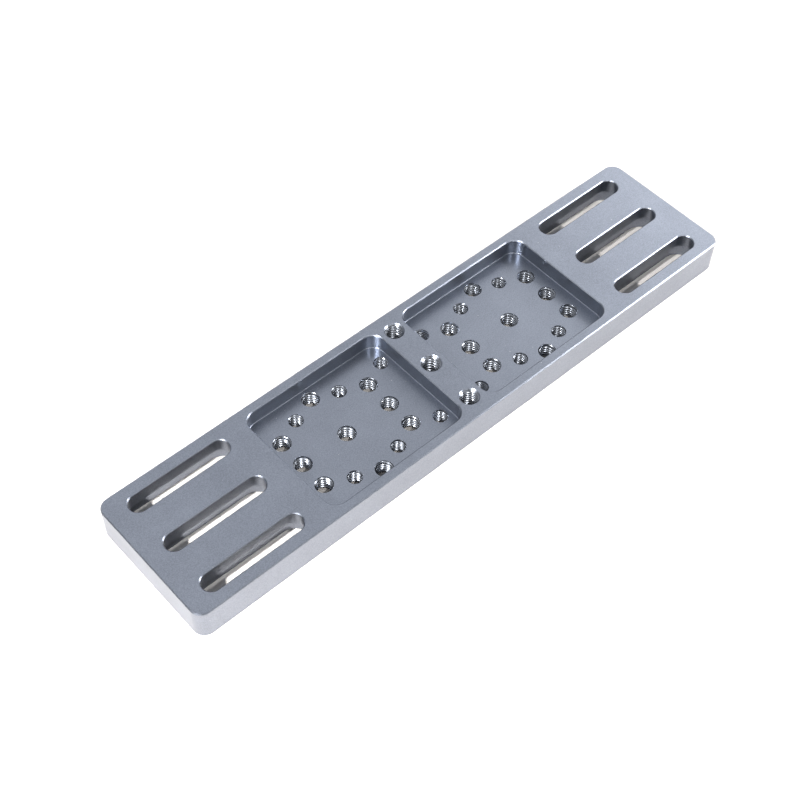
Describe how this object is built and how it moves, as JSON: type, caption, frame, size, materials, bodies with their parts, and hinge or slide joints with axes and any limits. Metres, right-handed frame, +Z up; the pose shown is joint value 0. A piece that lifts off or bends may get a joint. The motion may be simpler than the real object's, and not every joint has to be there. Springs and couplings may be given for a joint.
{
  "type": "telescope accessory plate",
  "caption": "Flat milled aluminium plate with two recessed pockets of tapped holes about a centre rib and rows of counterbored slots at both ends, for bolting accessories to a telescope.",
  "frame": {"origin": "middle of the underside, on the axis of the centre hole", "axes": "+X along the plate's length, +Y across it, +Z up from the underside to the pocketed face"},
  "size_m": [0.22, 0.05, 0.012],
  "materials": {
    "anodised_aluminium": "bead-blasted, grey anodised"
  },
  "bodies": {
    "root": {"accessory_plate": "anodised_aluminium"}
  },
  "joints": []
}
